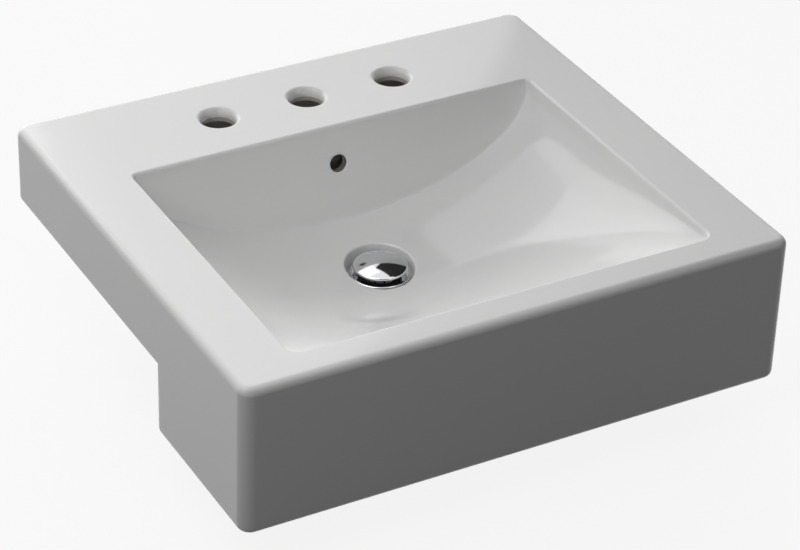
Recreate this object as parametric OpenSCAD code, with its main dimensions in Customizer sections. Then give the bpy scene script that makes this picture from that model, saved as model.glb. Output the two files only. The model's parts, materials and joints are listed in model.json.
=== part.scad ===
// Semi-recessed rectangular washbasin with a push-to-open domed waste.
// The basin's rear part stands on a counter and its deep front block hangs before the counter's edge.
// Origin: middle of the counter's front top edge. X to the right, Y towards the wall, Z up.

/* [Basin casting] */
// Overall width
basin_w = 594; // [540:1:720]
// Overall depth, front face to wall
basin_d = 534; // [510:1:620]
// Height of the front block, deck to foot
block_h = 163; // [150:1:200]
// Height of the rear slab, deck to counter
slab_h = 85; // [78:1:100]
// Depth of the front block, front face to counter edge
block_d = 195; // [170:1:230]
// Thickness of the outer skirt
skirt_t = 13; // [10:0.5:18]
// Thickness of the deck
deck_t = 14; // [10:0.5:18]
// Thickness of the bowl's shell
bowl_t = 12; // [9:0.5:16]
// Plan radius of the four upright corners
corner_r = 14; // [11:0.5:24]
// Radius of the deck's outer edge and of the foot's edge
edge_r = 8.5; // [4:0.5:10]

/* [Bowl] */
// Width of the bowl opening
bowl_w = 458; // [400:1:500]
// Depth of the bowl opening, front rim to back rim
bowl_d = 352; // [320:1:370]
// Width of the front rim
front_rim = 39; // [30:1:50]
// Greatest depth of the bowl below the deck
bowl_depth = 118; // [110:1:126]
// Rise of the floor from its lowest point to the foot of the back wall
floor_rise = 21.5; // [8:0.5:30]
// Depth of the short upright lip round the opening
lip_depth = 7; // [4:0.5:12]
// Radius that rounds the rim into the bowl
rim_r = 3.5; // [2:0.5:5]
// Lean of the back wall, sideways millimetres for each millimetre down
back_lean = 0.22; // [0.1:0.01:0.35]
// Plan radius of the opening's front corners
front_corner_r = 13; // [8:0.5:20]
// Plan radius of the opening's rear corners
rear_corner_r = 6; // [5:0.5:12]

/* [Holes] */
// Diameter of each tap hole
tap_d = 35; // [30:0.5:38]
// Spacing of the tap holes
tap_pitch = 101.6; // [90:0.1:110]
// Distance from the back rim of the bowl to the tap holes
tap_from_bowl = 67; // [55:1:75]
// Radius that rounds each tap hole into the deck
tap_lip_r = 4; // [2:0.5:5]
// Diameter of the overflow hole
overflow_d = 19; // [14:0.5:22]
// Radius that rounds the overflow hole into the back wall
overflow_lip_r = 4; // [2:0.5:5]
// Depth of the overflow hole's middle below the deck
overflow_drop = 41; // [30:1:45]
// Distance from the front rim of the bowl to the middle of the waste
waste_from_rim = 250; // [240:1:262]
// Diameter of the hole through the waste boss
waste_hole_d = 46; // [44:0.5:48]
// Diameter of the pocket that the waste flange sits in
pocket_d = 68; // [68:0.5:72]
// Depth of the pocket below the bowl's lowest point
pocket_sink = 6.5; // [2:0.5:9]
// Height of the boss below the pocket's seat
boss_h = 26; // [22:1:32]
// Diameter of the boss
boss_d = 92; // [84:1:100]

/* [Waste body] */
// Outside diameter of the threaded tail, G 1 1/4
tail_d = 41.9; // [40:0.1:42.4]
// Wall of the tail
tail_wall = 2.9; // [2.5:0.1:3.5]
// Length of the waste body below the seat
tail_len = 82; // [76:1:110]
// Diameter of the flange
flange_d = 64; // [62:0.5:66]
// Thickness of the flange at its rim
flange_t = 3.6; // [3:0.1:4.5]
// Width of each overflow port in the tail
port_w = 18; // [12:1:22]
// Height of each overflow port
port_h = 12; // [8:1:14]
// Thickness of the rubber washer under the flange
upper_washer_t = 2; // [1.5:0.1:3]
// Thickness of the rubber gasket under the boss
lower_gasket_t = 6; // [4:0.5:8]
// Thickness of the slip washer
slip_washer_t = 2; // [1.5:0.1:3]
// Height of the back nut
nut_h = 11; // [8:0.5:14]
// Width of the back nut across its flats
nut_af = 54; // [51:0.5:58]

/* [Plug] */
// Diameter of the domed plug
plug_d = 57; // [53:0.5:58]
// Rise of the dome above the plug's rim
plug_crown = 5; // [3:0.5:7]
// Thickness of the plug's rim
plug_rim_t = 2.4; // [2:0.1:3]
// Height of the raised plug's underside above the flange
plug_lift = 5.5; // [4.5:0.1:6.5]
// Travel of the plug from raised to closed
plug_travel = 7; // [5:0.5:7.5]

/* [Cartridge] */
// Outside diameter of the cartridge sleeve
sleeve_d = 22; // [20:0.5:24]
// Bore of the cartridge sleeve
sleeve_bore = 16.4; // [15.5:0.1:17]
// Diameter of the plunger's rod
rod_d = 8; // [7:0.1:9]
// Wire of the cartridge spring
wire_d = 1.2; // [1:0.1:1.4]
// Turns of the cartridge spring
spring_turns = 6; // [5:1:7]
// Teeth on the click rotor
click_teeth = 8; // [6:1:10]
// Height of the click teeth
tooth_h = 2; // [1.5:0.1:2.5]

/* [Hidden] */
$fn = 64;

ceramic = "whitesmoke";
chrome = "silver";
brass = "goldenrod";
rubber = "dimgray";
plastic = "ivory";

clear = 0.3;          // clearance round parts that pass through each other
slide = 0.05;         // radial clearance of a sliding or threaded fit
over = 1;             // how far a cutter runs past the face it cuts

deck_z = slab_h;
foot_z = slab_h - block_h;
front_y = -block_d;
wall_y = basin_d - block_d;
rim_front_y = front_y + front_rim;
rim_back_y = rim_front_y + bowl_d;
tap_y = rim_back_y + tap_from_bowl;
waste_y = rim_front_y + waste_from_rim;
seat_z = deck_z - bowl_depth - pocket_sink;
boss_foot_z = seat_z - boss_h;

// ---- bowl surface: depth below the deck over a plan point ----
// x is measured from the middle and v from the front rim; grow moves the surface outward for the shell
low_v = waste_from_rim - pocket_d / 2;       // the floor's lowest point, at the waste's front edge
ramp_power = 1.7;                            // how the front ramp curves up to the rim
rise_power = 1.2;                            // how the floor curves up to the back wall
smile_power = 0.55;                          // how round the floor is from side to side
side_lean = 0.08;                            // draft of the lip's upright wall
blend_r = 7;                                 // softness of the inner creases

function smile(x, grow) = pow(max(0, 1 - pow(abs(x) / (bowl_w / 2 + grow), 2)), smile_power);
function ramp(v, grow) = 1 - pow(max(0, 1 - (v + grow) / (low_v + grow)), ramp_power);
function rise(v) = floor_rise * pow(max(0, v - low_v) / (bowl_d - low_v), rise_power);
function floor_depth(x, v, grow) =
    lip_depth + (bowl_depth - lip_depth - (v > low_v ? rise(v) : 0)) * smile(x, grow)
    * (v > low_v ? 1 : ramp(v, grow));

// distance inside the opening's rounded outline, negative outside
function corner_at(v) = v < bowl_d / 2 ? front_corner_r : rear_corner_r;
function inside(x, v, grow) = let (
    r = corner_at(v) + grow,
    qx = abs(x) - (bowl_w / 2 + grow - r),
    qv = abs(v - bowl_d / 2) - (bowl_d / 2 + grow - r)
) r - norm([max(qx, 0), max(qv, 0)]) - min(max(qx, qv), 0);

// depth of the wall at distance s inside the outline, with the rim rounded over
function wall_depth(s) =
    s < -rim_r ? s + rim_r
    : s < 0 ? rim_r - sqrt(max(0, rim_r * rim_r - pow(s + rim_r, 2)))
    : rim_r + s / side_lean;
function back_depth(v, grow) = rim_r + (bowl_d + grow - v) / back_lean;
function soft_min(a, b, r) = let (h = max(0, r - abs(a - b)) / r) min(a, b) - h * h * r / 4;

function bowl_at(x, v) =
    let (s = inside(x, v, 0), w = wall_depth(s))
    w < rim_r ? w
    : max(rim_r, soft_min(soft_min(floor_depth(x, v, 0), w, blend_r), back_depth(v, 0), blend_r));
function shell_at(x, v) = min(floor_depth(x, v, bowl_t) + bowl_t, back_depth(v, bowl_t));

// where the floor meets the back wall over x
function crease(x, grow, n = 5, v = bowl_d) =
    n == 0 ? v : crease(x, grow, n - 1, bowl_d + grow - back_lean * floor_depth(x, v, grow));

// closed solid under a flat top at top_z, over a grid of plan points, with depth from the given function
module height_solid(xs, rows, z_of, top_z) {
    nx = len(xs);
    nv = len(rows[0]);
    low = [for (i = [0:nx - 1]) for (j = [0:nv - 1]) [xs[i], rows[i][j], z_of(xs[i], rows[i][j])]];
    high = [for (p = low) [p[0], p[1], top_z]];
    n = nx * nv;
    function at(i, j) = i * nv + j;
    under = [for (i = [0:nx - 2]) for (j = [0:nv - 2]) each [
        [at(i, j), at(i + 1, j), at(i + 1, j + 1)], [at(i, j), at(i + 1, j + 1), at(i, j + 1)]]];
    ring = concat(
        [for (i = [0:nx - 2]) at(i, 0)], [for (j = [0:nv - 2]) at(nx - 1, j)],
        [for (i = [nx - 1:-1:1]) at(i, nv - 1)], [for (j = [nv - 1:-1:1]) at(0, j)]);
    m = len(ring);
    sides = [for (k = [0:m - 1]) let (a = ring[k], b = ring[(k + 1) % m]) each [
        [a, n + b, b], [a, n + a, n + b]]];
    hub = [(xs[0] + xs[nx - 1]) / 2, (rows[0][0] + rows[0][nv - 1]) / 2, top_z];
    lid = [for (k = [0:m - 1]) [2 * n, n + ring[(k + 1) % m], n + ring[k]]];
    polyhedron(concat(low, high, [hub]), concat(under, sides, lid), convexity = 6);
}

// plan stations, closer together near the rims
cols = 13;                                   // stations from the middle to each side
rim_in = 0.4;                                // the rim's stations start this far inside the outline
rim_at = concat([-rim_in], [for (a = [25, 50, 72]) rim_r * (1 - cos(a))], [rim_r + over]);
front_steps = [1.2, 3, 6, 10, 16];           // stations behind the front rim, where the ramp drops fast
floor_rows = 14;                             // stations along the floor
crease_gap = 5;                              // the floor's stations stop this far before the back wall
wall_run = 1.5;                              // least distance from the floor's end to the back rim
wall_steps = [0.15, 0.5, 0.8];               // stations up the back wall, as shares of its run
function half_stations(reach) = [for (i = [0:cols]) reach * sin(90 * i / (cols + 0.6))];
function both_sides(half) = concat([for (i = [len(half) - 1:-1:1]) -half[i]], half);

module bowl_cavity() {
    ramp_v = front_steps[len(front_steps) - 1];
    xs = both_sides(concat(half_stations(bowl_w / 2), [for (s = rim_at) bowl_w / 2 + s]));
    rows = [for (x = xs) let (c = min(crease(x, 0), bowl_d - wall_run)) concat(
        [for (i = [len(rim_at) - 1:-1:0]) -rim_at[i]],
        front_steps,
        [for (i = [1:floor_rows]) ramp_v + (c - crease_gap - ramp_v) * i / floor_rows],
        [c - crease_gap / 2],
        [for (t = wall_steps) c + (bowl_d - rim_in - c) * t],
        [for (s = rim_at) bowl_d + s])];
    translate([0, rim_front_y, deck_z])
        height_solid(xs, rows, function (x, v) -bowl_at(x, v), rim_r + over);
}

module bowl_shell() {
    reach = bowl_w / 2 + bowl_t;
    back = bowl_d + bowl_t;
    top = -deck_t / 2;                       // the shell's flat top, buried in the deck
    shell_rows = 12;
    xs = both_sides(concat(half_stations(reach), [reach]));
    rows = [for (x = xs) let (c = min(crease(x, bowl_t), back - 1)) concat(
        [for (i = [0:shell_rows]) -bowl_t + (c + bowl_t) * i / shell_rows],
        [(c + back) / 2, back])];
    translate([0, rim_front_y, deck_z])
        height_solid(xs, rows, function (x, v) min(-shell_at(x, v), top - over), top);
}

// a box whose upright corners are round in plan and whose top and foot edges are rounded over
module rounded_block(w, y0, y1, z0, z1, plan_r, top_r, foot_r) {
    hull()
        for (x = [-1, 1], y = [y0 + plan_r, y1 - plan_r], end = [[z1 - top_r, top_r], [z0 + foot_r, foot_r]])
            translate([x * (w / 2 - plan_r), y, end[0]])
                rotate_extrude($fn = 40)
                    intersection() {
                        translate([plan_r - end[1], 0])
                            circle(r = end[1], $fn = 32);
                        translate([0, -end[1]])
                            square([plan_r, 2 * end[1]]);
                    }
}

module box_between(x0, x1, y0, y1, z0, z1) {
    translate([x0, y0, z0])
        cube([x1 - x0, y1 - y0, z1 - z0]);
}

// tool for a hole that goes down from the surface at z = 0, with its mouth rounded over
module lipped_hole(d, lip_r, depth) {
    translate([0, 0, -depth])
        cylinder(d = d, h = depth + over);
    translate([0, 0, -lip_r])
        rotate_extrude()
            difference() {
                square([d / 2 + lip_r, lip_r + over]);
                translate([d / 2 + lip_r, 0])
                    circle(r = lip_r, $fn = 48);
            }
}

// ---- basin ----
slab_foot_r = 7;                             // radius of the slab's lower edge
pocket_flare = 4;                            // how much the waste pocket widens over its tool's height
pocket_tool_h = 22;                          // height of that tool, up past the floor around the pocket
pad_x = 235;                                 // the counter's edge bears on the block's back beyond this
pad_t = 1.5;                                 // how far the block's back stands clear between those two pads
web_t = 10;                                  // thickness of the webs under the deck
web_x = 160;                                 // webs' distance from the middle
duct_r = 5;                                  // half height of the overflow passage
duct_w = 36;                                 // width of the overflow passage
duct_t = 9;                                  // wall of the overflow duct
gallery_drop = 11.5;                         // depth below the seat at which the passage meets the waste hole
gallery_z = seat_z - gallery_drop;
wall_lean = atan(back_lean);                 // angle of the back wall from upright
overflow_y = rim_back_y - back_lean * (overflow_drop - rim_r);
overflow_z = deck_z - overflow_drop;
duct_top = [overflow_y + bowl_t + duct_r, overflow_z + duct_r];
duct_bend = [rim_back_y - back_lean * (bowl_depth - floor_rise) + bowl_t + duct_r,
             deck_z - bowl_depth + duct_r + duct_t];
duct_end = [waste_y + waste_hole_d / 2, gallery_z];

module duct(grow) {
    for (leg = [[duct_top, duct_bend], [duct_bend, duct_end]])
        hull()
            for (p = leg)
                translate([-duct_w / 2 - grow, p[0], p[1]])
                    rotate([0, 90, 0])
                        cylinder(r = duct_r + grow, h = duct_w + 2 * grow, $fn = 24);
}

module casting() {
    inner_x = basin_w / 2 - skirt_t;
    roof = deck_z - deck_t;
    difference() {
        union() {
            rounded_block(basin_w, front_y, 0, foot_z, deck_z, corner_r, edge_r, edge_r);
            rounded_block(basin_w, front_y / 2, wall_y, 0, deck_z, corner_r, edge_r, slab_foot_r);
        }
        box_between(-inner_x, inner_x, front_y + skirt_t, -skirt_t, foot_z - over, roof);
        box_between(-inner_x, inner_x, 0, wall_y - skirt_t, -over, roof);
        box_between(-inner_x, inner_x, -skirt_t - over, over, skirt_t, roof);
        box_between(-pad_x, pad_x, -pad_t, over, foot_z - over, skirt_t + over);
    }
    bowl_shell();
    translate([0, waste_y, boss_foot_z])
        cylinder(d = boss_d, h = boss_h + pocket_sink);
    duct(duct_t);
    for (side = [-1, 1])
        box_between(side * web_x - web_t / 2, side * web_x + web_t / 2,
                    rim_back_y, wall_y - skirt_t / 2, slab_foot_r + skirt_t, deck_z - deck_t / 2);
}

module basin() {
    color(ceramic)
        difference() {
            casting();
            bowl_cavity();
            for (i = [-1, 0, 1])
                translate([i * tap_pitch, tap_y, deck_z])
                    lipped_hole(tap_d, tap_lip_r, deck_t + over);
            translate([0, waste_y, 0]) {
                translate([0, 0, seat_z])
                    cylinder(d1 = pocket_d, d2 = pocket_d + 2 * pocket_flare, h = pocket_tool_h);
                translate([0, 0, boss_foot_z - over])
                    cylinder(d = waste_hole_d, h = boss_h + 2 * over);
            }
            translate([0, overflow_y, overflow_z])
                rotate([90 - wall_lean, 0, 0])
                    lipped_hole(overflow_d, overflow_lip_r, bowl_t + duct_r);
            duct(0);
        }
}

// ---- waste body ----
flange_z = seat_z + upper_washer_t;          // underside of the flange
flange_top = flange_z + flange_t;
tail_r = tail_d / 2;
bore_r = tail_r - tail_wall;
flange_edge = 0.8;                           // bevel of the flange's rim
rim_land = 1.8;                              // width of the flange's flat rim
dish_t = 1.3;                                // thickness of the flange in its dish
dish_corner = 0.5;                           // bevel at the dish's foot
dish_z = flange_z + dish_t;
relief_gap = 1;                              // thread between the back nut and the relief groove below it
relief_h = 3;                                // height of the groove that parts the nut's thread from the trap's
relief_t = 1;                                // depth of that groove
throat_flare = 1.5;                          // how much the bore widens at its mouth
throat_h = 2.2;                              // height over which it widens
throat_r = bore_r + throat_flare;
spider_drop = 46;                            // spider's top below the flange
spider_h = 8;
spider_arm = 3;                              // thickness of each of its three arms
arm_step = 1;                                // arms are this much lower than the hub at each face
hub_d = 13;
screw_d = 6;
spider_z = flange_z - spider_drop;

module waste_body() {
    foot = seat_z - tail_len;
    rim = flange_d / 2;
    relief_z = nut_z - relief_gap;
    color(chrome)
        translate([0, waste_y, 0])
            difference() {
                union() {
                    rotate_extrude($fn = 96)
                        polygon([
                            [bore_r, foot], [tail_r - 1, foot], [tail_r, foot + 1],
                            [tail_r, relief_z - relief_h], [tail_r - relief_t, relief_z - relief_h],
                            [tail_r - relief_t, relief_z], [tail_r, relief_z], [tail_r, flange_z],
                            [rim - flange_edge, flange_z], [rim, flange_z + flange_edge],
                            [rim, flange_top - flange_edge], [rim - flange_edge, flange_top],
                            [rim - rim_land, flange_top], [rim - rim_land - dish_corner, dish_z + dish_corner],
                            [throat_r, dish_z], [bore_r, dish_z - throat_h]]);
                    translate([0, 0, spider_z - spider_h])
                        cylinder(d = hub_d, h = spider_h);
                    for (a = [90, 210, 330])
                        rotate([0, 0, a])
                            translate([0, -spider_arm / 2, spider_z - spider_h + arm_step])
                                cube([bore_r + tail_wall / 2, spider_arm, spider_h - 2 * arm_step]);
                }
                translate([0, 0, spider_z - spider_h - over])
                    cylinder(d = screw_d + 2 * slide, h = spider_h + 2 * over);
                for (side = [-1, 1])
                    translate([-port_w / 2, side * tail_r - tail_wall * 1.5, gallery_z - port_h / 2])
                        cube([port_w, tail_wall * 3, port_h]);
            }
}

module ring(outer_d, inner_d, z0, h) {
    translate([0, waste_y, z0])
        difference() {
            cylinder(d = outer_d, h = h);
            translate([0, 0, -over])
                cylinder(d = inner_d, h = h + 2 * over);
        }
}

module upper_washer() {
    color(rubber)
        ring(flange_d - washer_inset, tail_d + 2 * clear, seat_z, upper_washer_t);
}

washer_inset = 3;                            // how much smaller than the flange its washer is
gasket_z = boss_foot_z - lower_gasket_t;
slip_z = gasket_z - slip_washer_t;
nut_z = slip_z - nut_h;
washer_d = 62;                               // outside diameter of the gasket and the slip washer

module lower_gasket() {
    chamfer = lower_gasket_t * 0.3;
    color(rubber)
        translate([0, waste_y, 0])
            rotate_extrude()
                polygon([
                    [tail_r + clear, gasket_z], [washer_d / 2, gasket_z], [washer_d / 2, boss_foot_z - chamfer],
                    [washer_d / 2 - chamfer, boss_foot_z], [tail_r + clear, boss_foot_z]]);
}

module slip_washer() {
    color(plastic)
        ring(washer_d, tail_d + 2 * clear, slip_z, slip_washer_t);
}

module back_nut() {
    collar_h = 3;
    color(brass)
        difference() {
            translate([0, waste_y, 0]) {
                translate([0, 0, nut_z])
                    cylinder(d = nut_af / cos(30), h = nut_h - collar_h, $fn = 6);
                translate([0, 0, nut_z + nut_h - collar_h])
                    cylinder(d = washer_d - 2, h = collar_h);
            }
            translate([0, waste_y, nut_z - over])
                cylinder(r = tail_r + slide, h = nut_h + 2 * over);
        }
}

// ---- cartridge ----
plug_z = flange_top + plug_lift;             // underside of the raised plug
boss_drop = 10.5;                            // length of the plug's threaded boss below its rim
collar_gap = 1;                              // gap left under the boss when the plug is closed
collar_top = plug_z - boss_drop - plug_travel - collar_gap;
collar_flange_t = 4;
spigot_h = 4;
sleeve_floor = 4;
sleeve_top = collar_top - collar_flange_t;
rod_r = rod_d / 2;
rotor_d = sleeve_bore - 2 * clear;
rotor_h = 4;
foot_t = 2;
crown_z = sleeve_top - spigot_h;             // root of the collar's teeth
rotor_top = crown_z - tooth_h - clear;       // root of the rotor's teeth, in mesh with the collar's

tooth_fill = 0.62;                           // share of the pitch that a tooth's root takes
tip_half = 0.3;                              // half the width of a tooth's tip

// a ring of saw-shaped teeth that point along Z, cut from one tube
module tooth_ring(inner_r, outer_r, h, turn) {
    pitch = 360 / click_teeth;
    mid = (inner_r + outer_r) / 2;
    half = mid * tan(pitch / 2) * tooth_fill;
    intersection() {
        difference() {
            cylinder(r = outer_r, h = h);
            translate([0, 0, -over])
                cylinder(r = inner_r, h = h + 2 * over);
        }
        for (i = [0:click_teeth - 1])
            rotate([0, 0, turn + i * pitch])
                translate([inner_r - 1, 0, 0])
                    rotate([90, 0, 90])
                        linear_extrude(outer_r - inner_r + 2)
                            polygon([[-half, 0], [half, 0], [tip_half, h], [-tip_half, h]]);
    }
}

module cartridge_sleeve() {
    color(plastic)
        translate([0, waste_y, spider_z])
            difference() {
                cylinder(d = sleeve_d, h = sleeve_top - spider_z);
                translate([0, 0, sleeve_floor])
                    cylinder(d = sleeve_bore, h = sleeve_top - spider_z);
                translate([0, 0, -over])
                    cylinder(d = screw_d + 2 * slide, h = sleeve_floor + 2 * over);
            }
}

seal_groove_h = 2.4;
seal_wire = 1.8;

module sleeve_collar() {
    color(plastic)
        translate([0, waste_y, 0])
            difference() {
                union() {
                    translate([0, 0, sleeve_top])
                        cylinder(d = sleeve_d, h = collar_flange_t);
                    translate([0, 0, crown_z])
                        cylinder(r = sleeve_bore / 2 - slide, h = spigot_h);
                    translate([0, 0, crown_z])
                        mirror([0, 0, 1])
                            tooth_ring(rod_r + 1, rotor_d / 2, tooth_h, 0);
                }
                translate([0, 0, crown_z - tooth_h - over])
                    cylinder(r = rod_r + slide, h = collar_top - crown_z + tooth_h + 2 * over);
                translate([0, 0, collar_top - seal_groove_h])
                    cylinder(r = rod_r + clear + seal_wire + slide, h = seal_groove_h + over);
            }
}

module rod_seal() {
    color(rubber)
        translate([0, waste_y, collar_top - seal_groove_h + seal_wire / 2])
            rotate_extrude()
                translate([rod_r + clear + seal_wire / 2, 0])
                    circle(d = seal_wire, $fn = 32);
}

module spider_screw() {
    head_h = 3.5;
    head_d = 10.2;
    tip_gap = 0.5;                           // the screw stops short of the sleeve floor's top
    color(brass)
        translate([0, waste_y, 0]) {
            translate([0, 0, spider_z - spider_h - head_h])
                cylinder(d = head_d, h = head_h);
            translate([0, 0, spider_z - spider_h - head_h / 2])
                cylinder(d = screw_d, h = spider_h + head_h / 2 + sleeve_floor - tip_gap);
        }
}

spring_z = spider_z + sleeve_floor;
foot_top = rotor_top - rotor_h;            // top of the plunger's foot, under the rotor
spring_h = foot_top - foot_t - spring_z;
spring_r = sleeve_bore / 2 - clear - wire_d;

// helical wire swept as one closed tube
module cartridge_spring() {
    sides = 8;
    per_turn = 16;
    steps = spring_turns * per_turn;
    wire_r = wire_d / 2;
    rise_h = spring_h - wire_d;
    slope = atan2(rise_h, 360 * spring_turns * spring_r * PI / 180);
    rings = [for (i = [0:steps]) let (a = 360 * i / per_turn, z = wire_r + rise_h * i / steps)
        for (k = [0:sides - 1]) let (b = 360 * k / sides, out = wire_r * cos(b), up = wire_r * sin(b))
        [(spring_r + out) * cos(a) + up * sin(slope) * sin(a),
         (spring_r + out) * sin(a) - up * sin(slope) * cos(a),
         z + up * cos(slope)]];
    last = steps * sides;
    skin = [for (i = [0:steps - 1]) for (k = [0:sides - 1]) let (
        a = i * sides + k, b = i * sides + (k + 1) % sides) each [
        [a, a + sides, b + sides], [a, b + sides, b]]];
    caps = [[for (k = [0:sides - 1]) k], [for (k = [sides - 1:-1:0]) last + k]];
    color(chrome)
        translate([0, waste_y, spring_z])
            polyhedron(rings, concat(skin, caps), convexity = 8);
}

module click_rotor() {
    color("orange")
        translate([0, waste_y, 0]) {
            difference() {
                translate([0, 0, rotor_top - rotor_h])
                    cylinder(d = rotor_d, h = rotor_h);
                translate([0, 0, rotor_top - rotor_h - over])
                    cylinder(r = rod_r + slide, h = rotor_h + 2 * over);
            }
            translate([0, 0, rotor_top])
                tooth_ring(rod_r + 1, rotor_d / 2, tooth_h, 180 / click_teeth);
        }
}

module plunger() {
    foot_clear = 0.05;                       // the rotor turns on the foot
    color(plastic)
        translate([0, waste_y, 0]) {
            translate([0, 0, foot_top - foot_t])
                cylinder(r = rotor_d / 2, h = foot_t - foot_clear);
            translate([0, 0, foot_top - foot_t])
                cylinder(r = rod_r, h = plug_z - boss_roof - foot_top + foot_t);
        }
}

// ---- plug ----
dome_t = 1.6;
plug_edge = 0.5;                             // bevel of the plug's rim
rod_gap = 0.2;                               // gap over the end of the rod
boss_roof = 2;                               // metal left above the rod in the plug's boss
plug_boss_r = 7;
seal_seat_r = 9.5;
plug_seal_t = 2.8;
plug_seal_r = throat_r + 2.5;
seal_gap = 0.25;                             // gap left under the seal when the plug is closed
plug_seal_z = dish_z + plug_travel + seal_gap;
dome_steps = 12;

function dome_z(r, reach, crown) = crown * (1 - pow(r / reach, 2));

module plug_cap() {
    rim_z = plug_z + plug_rim_t;
    outer = [for (i = [0:dome_steps]) let (r = plug_d / 2 * i / dome_steps)
        [r, rim_z + dome_z(r, plug_d / 2, plug_crown)]];
    reach = plug_d / 2 - dome_t;
    inner = [for (i = [dome_steps:-1:0]) let (r = reach * i / dome_steps) if (r > seal_seat_r)
        [r, rim_z - dome_t + dome_z(r, reach, plug_crown)]];
    color(chrome)
        translate([0, waste_y, 0])
            difference() {
                rotate_extrude($fn = 96)
                    polygon(concat(
                        outer,
                        [[plug_d / 2, plug_z + plug_edge], [plug_d / 2 - plug_edge, plug_z], [reach, plug_z]],
                        inner,
                        [[seal_seat_r, plug_seal_z + plug_seal_t], [plug_boss_r, plug_seal_z + plug_seal_t],
                         [plug_boss_r, plug_z - boss_drop], [0, plug_z - boss_drop]]));
                translate([0, 0, plug_z - boss_drop - over])
                    cylinder(r = rod_r + slide, h = boss_drop - boss_roof + over + rod_gap);
            }
}

module plug_seal() {
    color(rubber)
        ring(2 * plug_seal_r, 2 * (plug_boss_r + slide), plug_seal_z, plug_seal_t);
}

basin();
waste_body();
upper_washer();
lower_gasket();
slip_washer();
back_nut();
cartridge_sleeve();
sleeve_collar();
rod_seal();
spider_screw();
cartridge_spring();
click_rotor();
plunger();
plug_cap();
plug_seal();
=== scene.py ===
import json
import math
import bpy
import bmesh
from mathutils import Matrix, Vector


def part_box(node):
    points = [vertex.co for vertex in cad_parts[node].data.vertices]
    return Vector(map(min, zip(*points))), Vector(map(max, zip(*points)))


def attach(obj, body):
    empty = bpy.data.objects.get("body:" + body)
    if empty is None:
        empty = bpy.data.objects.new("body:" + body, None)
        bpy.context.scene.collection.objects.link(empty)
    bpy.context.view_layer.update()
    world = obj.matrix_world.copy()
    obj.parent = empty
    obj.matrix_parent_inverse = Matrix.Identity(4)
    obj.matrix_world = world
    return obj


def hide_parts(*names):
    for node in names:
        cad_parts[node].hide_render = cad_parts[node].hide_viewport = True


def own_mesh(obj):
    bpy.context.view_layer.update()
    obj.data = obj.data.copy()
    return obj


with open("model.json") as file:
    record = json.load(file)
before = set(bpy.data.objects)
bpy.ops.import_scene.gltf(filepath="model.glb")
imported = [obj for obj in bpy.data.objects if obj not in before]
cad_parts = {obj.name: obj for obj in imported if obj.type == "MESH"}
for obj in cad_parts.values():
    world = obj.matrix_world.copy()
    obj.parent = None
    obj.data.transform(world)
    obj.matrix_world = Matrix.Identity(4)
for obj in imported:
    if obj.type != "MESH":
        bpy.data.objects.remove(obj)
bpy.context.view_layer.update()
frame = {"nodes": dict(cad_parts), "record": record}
castLow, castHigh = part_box("basin")
tailLow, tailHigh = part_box("waste_body")
capLow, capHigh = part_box("plug_cap")
print("frame loaded")

# how close counts as one point of a turned part, as one point of a CAD part, as on a face and as beside it,
# and how level counts as flat
tolerance = {"pole": 0.000001, "same": 0.00001, "small": 0.00002, "near": 0.0003, "level": 0.99}


# shader sockets that take part in Python sums
class Flow:
    def __init__(self, tree, socket):
        self.tree, self.socket = tree, socket

    def join(self, operation, other, swap=False):
        node = self.tree.nodes.new("ShaderNodeMath")
        node.operation = operation
        for place, value in zip((1, 0) if swap else (0, 1), (self, other)):
            if isinstance(value, Flow):
                self.tree.links.new(value.socket, node.inputs[place])
            else:
                node.inputs[place].default_value = value
        return Flow(self.tree, node.outputs[0])

    def __add__(self, other):
        return self.join("ADD", other)

    def __radd__(self, other):
        return self.join("ADD", other, True)

    def __sub__(self, other):
        return self.join("SUBTRACT", other)

    def __rsub__(self, other):
        return self.join("SUBTRACT", other, True)

    def __mul__(self, other):
        return self.join("MULTIPLY", other)

    def __rmul__(self, other):
        return self.join("MULTIPLY", other, True)

    def clamped(self):
        node = self.tree.nodes.new("ShaderNodeClamp")
        self.tree.links.new(self.socket, node.inputs[0])
        return Flow(self.tree, node.outputs[0])


class Outputs:
    def __init__(self, tree, node):
        self.tree, self.node = tree, node

    def __getitem__(self, key):
        return Flow(self.tree, self.node.outputs[key])


# the nodes of a material or of the world
class Nodes:
    def __init__(self, tree):
        self.tree = tree
        self.tree.nodes.clear()

    def add(self, kind, settings=None, inputs=None):
        node = self.tree.nodes.new("ShaderNode" + kind)
        for key, value in (settings or {}).items():
            setattr(node, key, value)
        for key, value in (inputs or {}).items():
            if isinstance(value, Flow):
                self.tree.links.new(value.socket, node.inputs[key])
            else:
                node.inputs[key].default_value = value
        return Outputs(self.tree, node)

    def seen(self):
        # 1 where the camera looks, straight or by way of polished and clear surfaces
        path = self.add("LightPath")
        return (path["Is Camera Ray"] + path["Is Glossy Ray"] + path["Is Transmission Ray"]).clamped()


class Finish(Nodes):
    def __init__(self, name):
        self.material = bpy.data.materials.new(name)
        self.material.use_nodes = True
        super().__init__(self.material.node_tree)
        self.place = self.add("TexCoord")["Object"]

    def noise(self, scale, detail):
        wanted = {"Vector": self.place, "Scale": scale, "Detail": detail}
        return self.add("TexNoise", None, wanted)["Fac"]

    def blend(self, factor, first, second):
        node = self.add("Mix", {"data_type": "RGBA"}, {0: factor, 6: first, 7: second})
        return node[2]

    def bump(self, height, distance, strength):
        wanted = {"Height": height, "Distance": distance, "Strength": strength}
        return self.add("Bump", None, wanted)["Normal"]

    def close(self, **inputs):
        sockets = {key.replace("_", " "): value for key, value in inputs.items()}
        shader = self.add("BsdfPrincipled", None, sockets)["BSDF"]
        self.add("OutputMaterial", None, {"Surface": shader})
        return self.material


def coloured(grey, red=1.0, blue=1.0):
    return (grey * red, grey, grey * blue, 1)


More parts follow.
